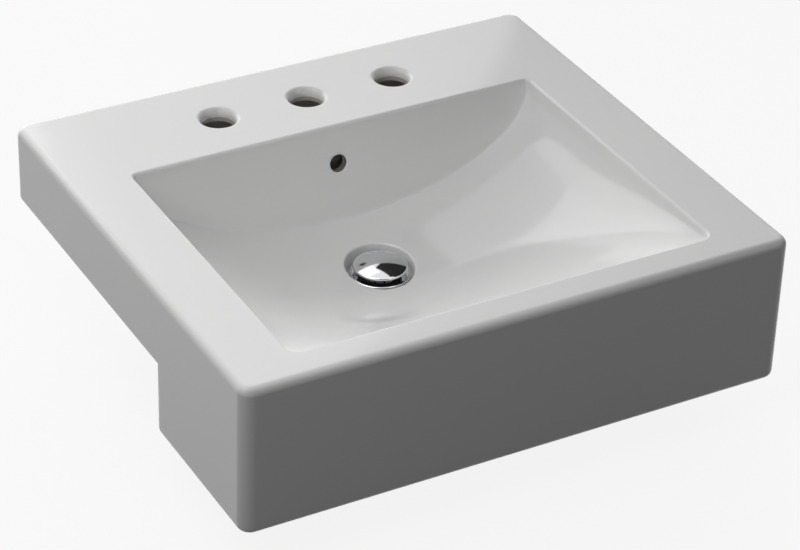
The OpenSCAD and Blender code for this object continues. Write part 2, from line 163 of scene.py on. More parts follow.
# bowl surface: depth below the deck, x from the middle, v from the front rim
bowl = {
    "width": 0.458, "depth": 0.352, "frontRim": 0.039, "deep": 0.118, "floorRise": 0.0215,
    "lip": 0.007, "rimRound": 0.0035, "backLean": 0.22, "frontCorner": 0.013, "rearCorner": 0.006,
    "sideLean": 0.08, "blend": 0.007, "waste": 0.250, "pocket": 0.034, "pocketFlare": 0.004 / 0.022,
    "rampPower": 1.7, "risePower": 1.2, "smilePower": 0.55,
}
deckZ = castHigh.z
rimY = castLow.y + bowl["frontRim"]
wasteY = rimY + bowl["waste"]
lowV = bowl["waste"] - bowl["pocket"]


def softMin(a, b, reach):
    share = max(0, reach - abs(a - b)) / reach
    return min(a, b) - share * share * reach / 4


def floorDepth(x, v):
    smile = max(0, 1 - (abs(x) / (bowl["width"] / 2)) ** 2) ** bowl["smilePower"]
    depth = bowl["deep"] - bowl["lip"]
    if v > lowV:
        depth -= bowl["floorRise"] * ((v - lowV) / (bowl["depth"] - lowV)) ** bowl["risePower"]
        return bowl["lip"] + depth * smile
    ramp = 1 - max(0, 1 - v / lowV) ** bowl["rampPower"]
    return bowl["lip"] + depth * smile * ramp


def insideOutline(x, v):
    corner = bowl["frontCorner"] if v < bowl["depth"] / 2 else bowl["rearCorner"]
    qx = abs(x) - (bowl["width"] / 2 - corner)
    qv = abs(v - bowl["depth"] / 2) - (bowl["depth"] / 2 - corner)
    return corner - math.hypot(max(qx, 0), max(qv, 0)) - min(max(qx, qv), 0)


def bowlDepth(x, v):
    inside = insideOutline(x, v)
    rim = bowl["rimRound"]
    if inside <= -rim:
        return 0.0
    if inside < 0:
        return rim - math.sqrt(max(0, rim * rim - (inside + rim) ** 2))
    wall = rim + inside / bowl["sideLean"]
    back = rim + (bowl["depth"] - v) / bowl["backLean"]
    depth = softMin(floorDepth(x, v), wall, bowl["blend"])
    return max(rim, softMin(depth, back, bowl["blend"]))


def onBowl(x, v):
    return Vector((x, rimY + v, deckZ - bowlDepth(x, v)))


# camera, lamps, cloths and floor
view = {
    "azimuth": -29.616, "elevation": 32.505, "roll": 1.931, "distance": 2.798,
    "target": (-0.0775, -0.084, 0.085), "lens": 133.0, "sensor": 36.0, "clipEnd": 50.0,
}
lampAim = (0, 0.05, 0)
lamps = {
    "rear": {"from": (-0.42, 1.58, 0.47), "size": (1.3, 1.3), "power": 5.6},
    "highRear": {"from": (-0.20, 1.70, 1.66), "size": (1.6, 1.6), "power": 2.6},
    "overhead": {"from": (-0.69, 0.19, 1.54), "size": (1.3, 1.3), "power": 4.7},
    "left": {"from": (-1.06, -0.28, 1.30), "size": (1.3, 1.3), "power": 7.0},
    "front": {"from": (0.0, -1.2, 2.6), "size": (2.0, 2.0), "power": 5.4},
}
flagAim = (0, 0, 0)
flags = {    # black cloths that only polished surfaces see
    "side": {"from": (1.34, 0.32, 0.82), "size": (2.5, 2.1)},
    "front": {"from": (-1.10, -1.90, 2.60), "size": (4.0, 3.0)},
}
clothLook = {"shades": (coloured(0.01), coloured(0.03)), "weave": (600.0, 2.0), "roughness": 0.9}
surround = {    # its glow is daylight from low behind, at the right
    "glowFrom": (0.495, 0.858, 0.139), "glow": 4.15, "glowSharp": 5.0,
    "floorZ": tailLow.z - 0.002, "floorSize": 9.0, "floorGrey": 0.12, "paperGrey": 0.8, "paperGlow": 0.88,
}


def linked(name, data):
    thing = bpy.data.objects.new(name, data)
    bpy.context.scene.collection.objects.link(thing)
    return thing


def hung(name, data, place, aim, front):
    # a lamp or cloth at its place, with its front towards the aim
    thing = linked(name, data)
    thing.location = place
    thing.rotation_mode = "QUATERNION"
    thing.rotation_quaternion = (Vector(aim) - thing.location).to_track_quat(front, "Y")
    return thing


def flatMesh(name, size, height=0.0):
    bm = bmesh.new()
    bmesh.ops.create_grid(bm, x_segments=2, y_segments=2, size=0.5)
    bmesh.ops.scale(bm, verts=bm.verts, vec=(*size, 1))
    bmesh.ops.translate(bm, verts=bm.verts, vec=(0, 0, height))
    mesh = bpy.data.meshes.new(name)
    bm.to_mesh(mesh)
    bm.free()
    return mesh


def makeCamera():
    azimuth, elevation, roll = (math.radians(view[k]) for k in ("azimuth", "elevation", "roll"))
    level = math.cos(elevation)
    back = Vector((math.sin(azimuth) * level, -math.cos(azimuth) * level, math.sin(elevation)))
    right = (-back).cross(Vector((0, 0, 1))).normalized()
    up = right.cross(-back)
    turned = right * math.cos(roll) + up * math.sin(roll)
    upright = up * math.cos(roll) - right * math.sin(roll)
    data = bpy.data.cameras.new("camera")
    data.lens, data.sensor_width, data.clip_end = view["lens"], view["sensor"], view["clipEnd"]
    camera = linked("camera", data)
    turn = Matrix((turned, upright, back)).transposed().to_4x4()
    camera.matrix_world = Matrix.Translation(Vector(view["target"]) + back * view["distance"]) @ turn
    bpy.context.scene.camera = camera


def makeLamp(name, lamp):
    data = bpy.data.lights.new(name, "AREA")
    data.shape = "RECTANGLE"
    data.size, data.size_y = lamp["size"]
    data.energy = lamp["power"]
    hung(name, data, lamp["from"], lampAim, "-Z")


def makeFlag(name, flag):
    mesh = flatMesh(name, flag["size"])
    black = Finish("blackCloth")
    weave = black.noise(*clothLook["weave"])
    black.close(Base_Color=black.blend(weave, *clothLook["shades"]), Roughness=clothLook["roughness"])
    mesh.materials.append(black.material)
    cloth = hung(name, mesh, flag["from"], flagAim, "Z")
    cloth.visible_camera = False
    cloth.visible_diffuse = False
    cloth.visible_shadow = False


def makeSurround():
    world = bpy.data.worlds.new("surround")
    world.use_nodes = True
    sky = Nodes(world.node_tree)
    seen = sky.seen()
    sight = sky.add("TexCoord")["Generated"]
    towards = sky.add("VectorMath", {"operation": "DOT_PRODUCT"}, {0: sight, 1: surround["glowFrom"]})
    glow = towards["Value"].clamped().join("POWER", surround["glowSharp"])
    strength = seen + (1 - seen) * glow * surround["glow"]
    light = sky.add("Background", None, {"Color": coloured(1.0), "Strength": strength})["Background"]
    sky.add("OutputWorld", None, {"Surface": light})
    bpy.context.scene.world = world


def makeFloor():
    size = surround["floorSize"]
    mesh = flatMesh("floor", (size, size), surround["floorZ"])
    floor = linked("floor", mesh)
    paper = Finish("paper")
    lit = paper.add("BsdfDiffuse", None, {"Color": coloured(surround["paperGrey"])})["BSDF"]
    glow = paper.add("Emission", None, {"Color": coloured(1.0), "Strength": 1.0})["Emission"]
    shown = paper.add("MixShader", None, {0: surround["paperGlow"], 1: lit, 2: glow})["Shader"]
    plain = paper.add("BsdfDiffuse", None, {"Color": coloured(surround["floorGrey"])})["BSDF"]
    mixed = paper.add("MixShader", None, {0: paper.seen(), 1: plain, 2: shown})["Shader"]
    paper.add("OutputMaterial", None, {"Surface": mixed})
    mesh.materials.append(paper.material)


makeCamera()
for name, lamp in lamps.items():
    makeLamp(name, lamp)
for name, flag in flags.items():
    makeFlag(name + "Flag", flag)
makeSurround()
makeFloor()
bpy.context.scene.view_settings.view_transform = "Standard"
print("camera and light ready")

# finishes: a noise is its scale and detail, a bump its height and strength, shades run from first to second
glazeLook = {
    "white": (coloured(0.87), coloured(0.89, 1.0, 0.99)), "cloud": (7.0, 3.0),
    "biscuit": (coloured(0.40, 1.06, 0.92), coloured(0.50, 1.05, 0.93)), "grain": (900.0, 4.0),
    "wave": (9.0, 1.0), "ripple": (60.0, 2.0), "rippleShare": 0.05, "index": 1.5,
    "glazeBump": (0.0008, 0.25), "biscuitBump": (0.0004, 0.5),
    "roughness": 0.08, "cloudRoughness": 0.04, "biscuitRoughness": 0.7,
}
chromeLook = {
    "shades": (coloured(0.74, 0.99, 1.02), coloured(0.80, 0.99, 1.02)), "cloud": (60.0, 3.0),
    "wear": (900.0, 4.0), "roughness": 0.04, "cloudRoughness": 0.05, "wearRoughness": 0.03,
    "bump": (0.0002, 0.15),
}
brassLook = {
    "shades": ((0.62, 0.47, 0.24, 1), (0.80, 0.66, 0.38, 1)), "tarnish": (70.0, 5.0), "grooves": 16000.0,
    "roughness": 0.16, "tarnishRoughness": 0.22, "grooveRoughness": 0.06, "bump": (0.00004, 0.35),
}
steelLook = {
    "shades": (coloured(0.52), coloured(0.66)), "drawn": (700.0, 3.0), "roughness": 0.22,
    "drawnRoughness": 0.2,
}
mouldedLooks = {
    "blackRubber": {
        "shades": (coloured(0.035), coloured(0.075)), "marks": (140.0, 5.0), "grain": (2200.0, 2.0),
        "roughness": 0.55, "marksRoughness": 0.25, "bump": (0.0001, 0.5),
    },
    "nylon": {
        "shades": (coloured(0.76, 1.02, 0.95), coloured(0.84, 1.01, 0.96)), "marks": (90.0, 3.0),
        "grain": (1500.0, 2.0), "roughness": 0.32, "marksRoughness": 0.2, "bump": (0.0001, 0.3),
    },
    "acetal": {
        "shades": (coloured(0.82, 1.01, 0.97), coloured(0.87, 1.0, 0.98)), "marks": (120.0, 2.0),
        "grain": (1800.0, 2.0), "roughness": 0.34, "marksRoughness": 0.15, "bump": (0.00008, 0.3),
    },
    "rotorAcetal": {
        "shades": ((0.70, 0.40, 0.12, 1), (0.80, 0.50, 0.18, 1)), "marks": (160.0, 3.0),
        "grain": (1800.0, 2.0), "roughness": 0.36, "marksRoughness": 0.15, "bump": (0.00008, 0.3),
    },
}


def glazeFinish():
    glaze = Finish("glaze")
    # the biscuit shows where the casting is bare; deep in the holes that biscuit is partly painted shade
    bareAndShade = glaze.add("Attribute", {"attribute_name": "bareAndShade"})["Fac"]
    cloud, grain = glaze.noise(*glazeLook["cloud"]), glaze.noise(*glazeLook["grain"])
    white = glaze.blend(cloud, *glazeLook["white"])
    biscuit = glaze.blend(grain, *glazeLook["biscuit"])
    ripple = glaze.noise(*glazeLook["wave"]) + glaze.noise(*glazeLook["ripple"]) * glazeLook["rippleShare"]
    smooth = glaze.bump(ripple, *glazeLook["glazeBump"])
    rough = glaze.bump(grain, *glazeLook["biscuitBump"])
    facing = glaze.add("Mix", {"data_type": "VECTOR"}, {0: bareAndShade, 4: smooth, 5: rough})[1]
    roughness = bareAndShade * glazeLook["biscuitRoughness"] + cloud * glazeLook["cloudRoughness"]
    return glaze.close(
        Base_Color=glaze.blend(bareAndShade, white, biscuit), Roughness=roughness + glazeLook["roughness"],
        IOR=glazeLook["index"], Normal=facing)


def chromeFinish():
    chrome = Finish("chromePlate")
    cloud, wear = chrome.noise(*chromeLook["cloud"]), chrome.noise(*chromeLook["wear"])
    roughness = cloud * chromeLook["cloudRoughness"] + wear * chromeLook["wearRoughness"]
    return chrome.close(
        Base_Color=chrome.blend(cloud, *chromeLook["shades"]), Metallic=1.0,
        Roughness=roughness + chromeLook["roughness"], Normal=chrome.bump(cloud, *chromeLook["bump"]))


def turnedRings(finish, scale):
    # fine grooves round the waste's axis, as a lathe leaves them
    parts = finish.add("SeparateXYZ", None, {"Vector": finish.place})
    sideways, along = parts["X"], parts["Y"] - wasteY
    radius = (sideways * sideways + along * along).join("POWER", 0.5)
    wave = ((radius + parts["Z"]) * scale).join("SINE", 0.0)
    return wave * 0.5 + 0.5


def brassFinish():
    brass = Finish("turnedBrass")
    tarnish = brass.noise(*brassLook["tarnish"])
    grooves = turnedRings(brass, brassLook["grooves"])
    roughness = tarnish * brassLook["tarnishRoughness"] + grooves * brassLook["grooveRoughness"]
    return brass.close(
        Base_Color=brass.blend(tarnish, *brassLook["shades"]), Metallic=1.0,
        Roughness=roughness + brassLook["roughness"], Normal=brass.bump(grooves, *brassLook["bump"]))


def springFinish():
    steel = Finish("springSteel")
    drawn = steel.noise(*steelLook["drawn"])
    return steel.close(
        Base_Color=steel.blend(drawn, *steelLook["shades"]), Metallic=1.0,
        Roughness=drawn * steelLook["drawnRoughness"] + steelLook["roughness"])


def mouldedFinish(name):
    # rubber or plastic: marks of its flow in the colour, a fine grain on the skin
    look = mouldedLooks[name]
    skin = Finish(name)
    marks, grain = skin.noise(*look["marks"]), skin.noise(*look["grain"])
    return skin.close(
        Base_Color=skin.blend(marks, *look["shades"]), Normal=skin.bump(grain, *look["bump"]),
        Roughness=marks * look["marksRoughness"] + look["roughness"])


finishes = {    # by the record's material slots
    "glaze": glazeFinish(), "chrome": chromeFinish(), "brass": brassFinish(),
    "spring_steel": springFinish(), "rubber": mouldedFinish("blackRubber"), "nylon": mouldedFinish("nylon"),
    "acetal": mouldedFinish("acetal"), "rotor_acetal": mouldedFinish("rotorAcetal"),
}
print("finishes ready")
sharpAngle = math.radians(33)


def keep(bm, name, body, slot, replaced):
    # shades, names and places a finished mesh
    for face in bm.faces:
        face.smooth = True
    for edge in bm.edges:
        if edge.is_manifold and edge.calc_face_angle() > sharpAngle:
            edge.smooth = False
    loose = [e for e in bm.edges if not e.is_manifold]
    mesh = bpy.data.meshes.new(name)
    bm.to_mesh(mesh)
    bm.free()
    piece = linked(name, mesh)
    mesh.materials.append(finishes[slot])
    flatter = piece.modifiers.new("flatter", "WEIGHTED_NORMAL")
    flatter.weight = 50
    flatter.keep_sharp = True
    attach(piece, body)
    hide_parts(*replaced)
    print(name, len(mesh.polygons), "faces", len(loose), "open edges")
    return piece


def cadCopy(node):
    # a copy of a CAD part with its loose triangles joined
    bm = bmesh.new()
    bm.from_mesh(frame["nodes"][node].data)
    bmesh.ops.remove_doubles(bm, verts=bm.verts, dist=tolerance["same"])
    return bm


def loopEdges(bm, loop):
    return [bm.edges.get((a, b)) for a, b in zip(loop, loop[1:] + loop[:1])]


def openEdges(bm, test):
    return [e for e in bm.edges if e.is_boundary and all(test(v.co) for v in e.verts)]


def startLoop(bm, points):
    verts = bmesh.ops.create_circle(bm, cap_ends=False, radius=0.01, segments=len(points))["verts"]
    loop = [verts[0], verts[0].link_edges[0].other_vert(verts[0])]
    while len(loop) < len(points):
        last, before = loop[-1], loop[-2]
        loop.append(next(v for v in (e.other_vert(last) for e in last.link_edges) if v != before))
    for vert, point in zip(loop, points):
        vert.co = point
    return loop


def grow(bm, loop, points):
    # extrudes an ordered loop and puts the new vertices at the points
    made = set(bmesh.ops.extrude_edge_only(bm, edges=loopEdges(bm, loop))["geom"])
    fresh = [next(v for v in (e.other_vert(old) for e in old.link_edges) if v in made) for old in loop]
    for vert, point in zip(fresh, points):
        vert.co = point
    return fresh


def closeCollar(bm, loop, test):
    # joins a loop to the open edges that pass the test
    chosen = set(loopEdges(bm, loop))
    other = [e for e in openEdges(bm, test) if e not in chosen]
    bmesh.ops.bridge_loops(bm, edges=list(chosen) + other)


def fullTurn(count):
    return [2 * math.pi * k / count for k in range(count)]


def around(centre, across, upward, radius, count):
    return [centre + (across * math.cos(a) + upward * math.sin(a)) * radius for a in fullTurn(count)]


def aroundWaste(radius, turn, height):
    return Vector((radius * math.cos(turn), wasteY + radius * math.sin(turn), height))


# the casting: the CAD part's buried faces with a finer deck, bowl and hole mouths
basin = {
    "sideStations": 100, "frontStations": 150, "cornerStations": 9, "rimStations": 7, "floorRings": 42,
    "firstSteps": [0.00004, 0.0001, 0.0002, 0.00035, 0.0006, 0.001, 0.0015, 0.0021, 0.003],
    "trueOffset": 0.003, "spread": 0.6, "stepSize": 0.001, "steps": 23,
    "seat": deckZ - 0.1245, "seatEdge": 0.0245, "seatHole": 0.026, "seatNear": 0.0005,
    "mouthRound": 0.002, "mouthTurns": (25, 50, 72, 90), "mouthPasses": 3, "pocketWall": 0.0042,
    "pocketFoot": [(0.0001, 0.0007), (-0.0001, 0.0002), (-0.0008, 0.0)],    # outwards and upwards
    "roof": deckZ - 0.014, "skirt": 0.013, "facingDown": 0.05, "ahead": 0.001, "holeSteps": 8,
}
# in the tap holes and the overflow, the biscuit past the bare depth is partly painted shade
tapHole = {
    "radius": 0.0175, "round": 0.006, "sink": 0.0090, "sides": 96, "pitch": 0.1016, "fromBowl": 0.067,
    "wall": (0.0094, 0.0130), "bore": 0.0185, "boreTop": 0.012, "bareAndShade": 0.0093, "bareReach": 0.023,
}
overflow = {
    "radius": 0.0095, "round": 0.004, "sink": 0.0014, "sides": 64, "drop": 0.041, "boreLength": 0.0175,
    "wide": 0.0150, "step": 0.0005, "wall": (0.0016, 0.0020, 0.0034, 0.0094, 0.0100),
    "margin": 0.0012, "tallMargin": 0.0015, "flat": 0.0002, "wallReach": 0.04, "facing": 0.8,
    "boreReach": 0.03, "boreTop": 0.006, "bareAndShade": 0.0018, "bareReach": 0.019,
}
across, upright = Vector((1, 0, 0)), Vector((0, 0, 1))
tapY = rimY + bowl["depth"] + tapHole["fromBowl"]
wallLean = math.atan(bowl["backLean"])
intoWall = Vector((0, math.cos(wallLean), -math.sin(wallLean)))
upWall = Vector((0, math.sin(wallLean), math.cos(wallLean)))
overflowRun = bowl["backLean"] * (overflow["drop"] - bowl["rimRound"])
overflowAt = Vector((0, rimY + bowl["depth"] - overflowRun, deckZ - overflow["drop"]))


def ringAt(inset):
    # the opening's outline, moved inwards, as x and v pairs
    def corner(radius):
        if inset < basin["trueOffset"]:
            return radius - inset
        return radius - basin["trueOffset"] + basin["spread"] * (inset - basin["trueOffset"])
    halfX, halfV = bowl["width"] / 2 - inset, bowl["depth"] / 2 - inset
    front, rear = corner(bowl["frontCorner"]), corner(bowl["rearCorner"])
    spots = [(halfX - front, -halfV + front, front, -90), (halfX - rear, halfV - rear, rear, 0),
             (-halfX + rear, halfV - rear, rear, 90), (-halfX + front, -halfV + front, front, 180)]
    sides = [basin["sideStations"], basin["frontStations"]] * 2
    points = []
    for (x, v, radius, first), count, after in zip(spots, sides, spots[1:] + spots[:1]):
        for k in range(basin["cornerStations"] + 1):
            turn = math.radians(first + 90 * k / basin["cornerStations"])
            points.append((x + radius * math.cos(turn), v + radius * math.sin(turn)))
        turn = math.radians(after[3])
        goal = (after[0] + after[2] * math.cos(turn), after[1] + after[2] * math.sin(turn))
        last = points[-1]
        for k in range(1, count):
            points.append(tuple(last[i] + (goal[i] - last[i]) * k / count for i in (0, 1)))
    return [(x, v + bowl["depth"] / 2) for x, v in points]


def onOverflow(centre, normal):
    # whether a face is on the overflow's bore or its lip
    small, near = tolerance["small"], tolerance["near"]
    offset = centre - overflowAt
    deep = offset.dot(intoWall)
    radial = offset - intoWall * deep
    facing = normal.dot(radial) < -overflow["facing"] * radial.length
    onBore = abs(radial.length - overflow["radius"]) < near and facing
    onLip = radial.length < overflow["radius"] + overflow["round"] + near
    if -small < deep < overflow["boreLength"] and onBore:
        return True
    return -near < deep < overflow["round"] + near and onLip


def madeAnew(centre, normal):
    # whether a face belongs to the deck, the bowl or a hole's wall, which are modelled here
    small, near = tolerance["small"], tolerance["near"]
    outside = -bowl["rimRound"] - basin["ahead"]
    ahead = centre + normal * basin["ahead"]
    x, v = ahead.x, ahead.y - rimY
    if centre.z > deckZ - small and normal.z > tolerance["level"]:
        return True
    if insideOutline(x, v) > outside and ahead.z > deckZ - bowlDepth(x, v) - near:
        return True
    aboveRoof = centre.z > basin["roof"] + small
    if aboveRoof and insideOutline(centre.x, centre.y - rimY) > outside:
        return True
    for side in (-1, 0, 1):
        away = math.hypot(centre.x - side * tapHole["pitch"], centre.y - tapY)
        if aboveRoof and away < tapHole["radius"] + tapHole["round"] + near:
            return True
    away = math.hypot(centre.x, centre.y - wasteY)
    if away < bowl["pocket"] + basin["pocketWall"] and centre.z > basin["seat"] - small:
        return True
    return onOverflow(centre, normal)


def unglazed(centre, normal):
    # whether a face is in the hollows, under the foot or against the wall
    small, near = tolerance["small"], tolerance["near"]
    thick = basin["skirt"] - small
    inBlock = castLow.y + thick < centre.y < -thick
    hanging = centre.z > castLow.z + thick and (centre.y > thick or normal.z < -basin["facingDown"])
    inSlab = -thick < centre.y < castHigh.y - thick and (centre.z > -small or hanging)
    inWalls = abs(centre.x) < castHigh.x - thick and centre.z < basin["roof"] + small
    onFoot = normal.z < -tolerance["level"] and (centre.z < castLow.z + near or abs(centre.z) < near)
    return (inWalls and (inBlock or inSlab)) or onFoot or centre.y > castHigh.y - small


def buriedPart():
    # the casting's own mesh without the faces that are made anew
    bm = cadCopy("basin")
    bmesh.ops.dissolve_degenerate(bm, edges=bm.edges, dist=tolerance["same"])
    dropped = [face for face in bm.faces if madeAnew(face.calc_center_median(), face.normal)]
    bmesh.ops.delete(bm, geom=dropped, context="FACES")
    # the layer also marks the holes' depths, where the biscuit is partly painted shade
    bareAndShade = bm.faces.layers.float.new("bareAndShade")    # 1 where the casting has no glaze
    for face in bm.faces:
        face[bareAndShade] = float(unglazed(face.calc_center_median(), face.normal))
    return bm


def carveBowl(bm):
    # the rim's rounding and the walls, ring by ring inwards
    rim = bowl["rimRound"]
    loop = None
    for k in range(basin["rimStations"] + 1):
        turn = math.radians(90 * k / basin["rimStations"])
        inset, depth = rim * math.sin(turn) - rim, rim - rim * math.cos(turn)
        points = [Vector((x, rimY + v, deckZ - depth)) for x, v in ringAt(inset)]
        loop = grow(bm, loop, points) if loop else startLoop(bm, points)
    insets = list(basin["firstSteps"])
    insets += [basin["trueOffset"] + basin["stepSize"] * k for k in range(1, basin["steps"] + 1)]
    for inset in insets:
        loop = grow(bm, loop, [onBowl(x, v) for x, v in ringAt(inset)])
    carveFloor(bm, loop, ringAt(insets[-1]))


def carveFloor(bm, loop, edge):
    # the floor along rays from its edge to the waste, then the pocket down to its seat
    rays = []
    for x, v in edge:
        away = math.hypot(x, v - bowl["waste"])
        rays.append((x / away, (v - bowl["waste"]) / away, away))
    mouths = []
    for dx, dv, _ in rays:
        radius = bowl["pocket"]
        for _ in range(basin["mouthPasses"]):
            height = onBowl(dx * radius, bowl["waste"] + dv * radius).z - basin["seat"]
            radius = bowl["pocket"] + bowl["pocketFlare"] * height
        mouths.append(radius + basin["mouthRound"])
    for k in range(1, basin["floorRings"] + 1):
        share = k / basin["floorRings"]
        points = []
        for (dx, dv, away), mouth in zip(rays, mouths):
            radius = away + (mouth - away) * share
            points.append(onBowl(dx * radius, bowl["waste"] + dv * radius))
        loop = grow(bm, loop, points)
    tops = [vert.co.z for vert in loop]
    for turn in basin["mouthTurns"]:
        sink = basin["mouthRound"] * (1 - math.cos(math.radians(turn)))
        inward = basin["mouthRound"] * math.sin(math.radians(turn))
        points = [Vector((dx * (mouth - inward), wasteY + dv * (mouth - inward), top - sink))
                  for (dx, dv, _), mouth, top in zip(rays, mouths, tops)]
        loop = grow(bm, loop, points)
    foot = [(bowl["pocket"] + past, basin["seat"] + above) for past, above in basin["pocketFoot"]]
    for radius, height in foot + [(basin["seatEdge"], basin["seat"])]:
        points = [Vector((dx * radius, wasteY + dv * radius, height)) for dx, dv, _ in rays]
        loop = grow(bm, loop, points)


def lippedHole(bm, centre, up, into, hole, radii):
    # rounded mouth of a hole, then its wall by depths and radii; gives the first and the last loop
    first = None
    for k in range(basin["holeSteps"] + 1):
        turn = math.radians(90 * k / basin["holeSteps"])
        out = hole["radius"] + hole["round"] - hole["round"] * math.sin(turn)
        down = hole["sink"] - hole["sink"] * math.cos(turn)
        points = around(centre + into * down, across, up, out, hole["sides"])
        loop = grow(bm, loop, points) if first else startLoop(bm, points)
        first = first or loop
    for down, out in zip(hole["wall"], radii):
        loop = grow(bm, loop, around(centre + into * down, across, up, out, hole["sides"]))
    return first, loop


def unglazeAndShade(bm, centre, into, hole):
    # the glaze stops at a depth in the hole, and the darker biscuit below it is partly painted shade in the
    # hole's depth
    bareAndShade = bm.faces.layers.float["bareAndShade"]
    for face in bm.faces:
        offset = face.calc_center_median() - centre
        if offset.length < hole["bareReach"] and offset.dot(into) > hole["bareAndShade"]:
            face[bareAndShade] = 1.0


def openOverflow(bm):
    # a window in the back wall, filled round the overflow hole; gives the end of the passage
    reach = overflow["radius"] + overflow["round"] + overflow["margin"]
    window = []
    for face in bm.faces:
        offset = face.calc_center_median() - overflowAt
        flat = abs(offset.dot(intoWall)) < overflow["flat"]
        if flat and abs(offset.x) < reach and abs(offset.dot(upWall)) < reach + overflow["tallMargin"]:
            window.append(face)
    bmesh.ops.delete(bm, geom=window, context="FACES")

    def onWall(point):
        offset = point - overflowAt
        return abs(offset.dot(intoWall)) < tolerance["near"] and offset.length < overflow["wallReach"]

    hole = openEdges(bm, onWall)
    narrow, wide = overflow["radius"], overflow["wide"]
    radii = (narrow, narrow + overflow["step"], wide, wide, narrow)
    first, last = lippedHole(bm, overflowAt, upWall, intoWall, overflow, radii)
    bmesh.ops.bridge_loops(bm, edges=hole + loopEdges(bm, first))
    unglazeAndShade(bm, overflowAt, intoWall, overflow)
    return last


def openTapHole(bm, centre):
    def onBore(point):
        away = math.hypot(point.x - centre.x, point.y - centre.y)
        return away < tapHole["bore"] and point.z < deckZ - tapHole["boreTop"]

    radii = [tapHole["radius"]] * len(tapHole["wall"])
    _, last = lippedHole(bm, centre, Vector((0, 1, 0)), -upright, tapHole, radii)
    closeCollar(bm, last, onBore)
    unglazeAndShade(bm, centre, -upright, tapHole)


def makeBasin():
    def onSeat(point):
        away = math.hypot(point.x, point.y - wasteY)
        return away < basin["seatHole"] and abs(point.z - basin["seat"]) < basin["seatNear"]

    def inPassage(point):
        offset = point - overflowAt
        return offset.length < overflow["boreReach"] and offset.dot(intoWall) > overflow["boreTop"]

    bm = buriedPart()
    carveBowl(bm)
    bm.normal_update()
    passageEnd = openOverflow(bm)
    for side in (-1, 0, 1):
        openTapHole(bm, Vector((side * tapHole["pitch"], tapY, deckZ)))
    bmesh.ops.triangle_fill(bm, edges=openEdges(bm, onSeat), use_beauty=True, normal=(0, 0, 1))
    closeCollar(bm, passageEnd, inPassage)
    deckEdges = openEdges(bm, lambda point: abs(point.z - deckZ) < tolerance["same"])
    bmesh.ops.triangle_fill(bm, edges=deckEdges, use_beauty=True, normal=(0, 0, 1))
    bmesh.ops.recalc_face_normals(bm, faces=bm.faces)
    keep(bm, "basin_casting", "basin_body", "glaze", ["basin"])


makeBasin()


# turned parts are spun from an outline of (radius, height, rounding) corners
def outline(corners, steps=4):
    points = []
    for k, corner in enumerate(corners):
        here = Vector(corner[:2])
        if len(corner) < 3:
            points.append(tuple(here))
            continue
        before, after = Vector(corners[k - 1][:2]), Vector(corners[(k + 1) % len(corners)][:2])
        start = here + (before - here).normalized() * corner[2]
        end = here + (after - here).normalized() * corner[2]
        for step in range(steps + 1):
            share = step / steps
            bend = start * (1 - share) ** 2 + here * 2 * share * (1 - share) + end * share ** 2
            points.append(tuple(bend))
    return points


def turned(points, steps=96):
    bm = bmesh.new()
    verts = [bm.verts.new((radius, wasteY, height)) for radius, height in points]
    pairs = zip(verts, verts[1:] + verts[:1])
    ring = [bm.edges.new(pair) for pair in pairs if any(v.co.x > 0 for v in pair)]
    bmesh.ops.spin(bm, geom=verts + ring, cent=(0, wasteY, 0), axis=(0, 0, 1), angle=2 * math.pi,
                   steps=steps, use_merge=True)
    bmesh.ops.remove_doubles(bm, verts=bm.verts, dist=tolerance["pole"])
    bmesh.ops.recalc_face_normals(bm, faces=bm.faces)
    return bm


# waste body: the CAD part with its flange's edges rounded and a real thread below the relief groove
waste = {
    "tailRadius": 0.02095, "pitch": 0.002309, "threadDepth": 0.00148, "ringsPerTurn": 8, "sides": 72,
    "runOut": 0.0018, "chamfer": 0.001, "reliefFoot": -0.0885, "firstRing": 0.0001,
    "wallNear": 0.0001, "endNear": 0.00005, "flange": 0.006, "flangeEdges": 0.0055,
    "flat": math.radians(0.3), "hard": math.radians(20), "soft": 0.00045, "softSteps": 3,
}


def threadPoints(height, low, high):
    fade = max(0, min(1, (height - low) / waste["runOut"], (high - height) / waste["runOut"]))
    points = []
    for turn in fullTurn(waste["sides"]):
        wave = 0.5 - 0.5 * math.cos(2 * math.pi * height / waste["pitch"] - turn)
        radius = waste["tailRadius"] - waste["threadDepth"] * wave * fade
        points.append(aroundWaste(radius, turn, height))
    return points


def cutThread(bm):
    low, high = tailLow.z + waste["chamfer"], waste["reliefFoot"]

    def onTail(face):
        aways = [math.hypot(v.co.x, v.co.y - wasteY) for v in face.verts]
        return all(abs(away - waste["tailRadius"]) < waste["wallNear"] for away in aways)

    wall = [f for f in bm.faces if onTail(f) and low < f.calc_center_median().z < high]
    bmesh.ops.delete(bm, geom=wall, context="FACES")
    rings = round((high - low) / waste["pitch"] * waste["ringsPerTurn"])
    loop = first = startLoop(bm, threadPoints(low + waste["firstRing"], low, high))
    for k in range(1, rings):
        loop = grow(bm, loop, threadPoints(low + (high - low) * k / rings, low, high))
    for end, height in ((first, low), (loop, high)):
        closeCollar(bm, end, lambda point, level=height: abs(point.z - level) < waste["endNear"])


def makeWasteBody():
    bm = cadCopy("waste_body")
    cutThread(bm)
    flangeFoot, edgesFoot = tailHigh.z - waste["flange"], tailHigh.z - waste["flangeEdges"]
    verts = [v for v in bm.verts if v.co.z > flangeFoot]
    edges = [e for e in bm.edges if min(v.co.z for v in e.verts) > flangeFoot]
    bmesh.ops.dissolve_limit(bm, angle_limit=waste["flat"], verts=verts, edges=edges)
    hard = [e for e in bm.edges if e.is_manifold and e.calc_face_angle() > waste["hard"]
            and min(v.co.z for v in e.verts) > edgesFoot]
    bmesh.ops.bevel(bm, geom=hard, offset=waste["soft"], offset_type="OFFSET", segments=waste["softSteps"],
                    profile=0.5, affect="EDGES", material=-1, clamp_overlap=True)
    bmesh.ops.recalc_face_normals(bm, faces=bm.faces)
    keep(bm, "waste_shell", "basin_body", "chrome", ["waste_body"])


makeWasteBody()

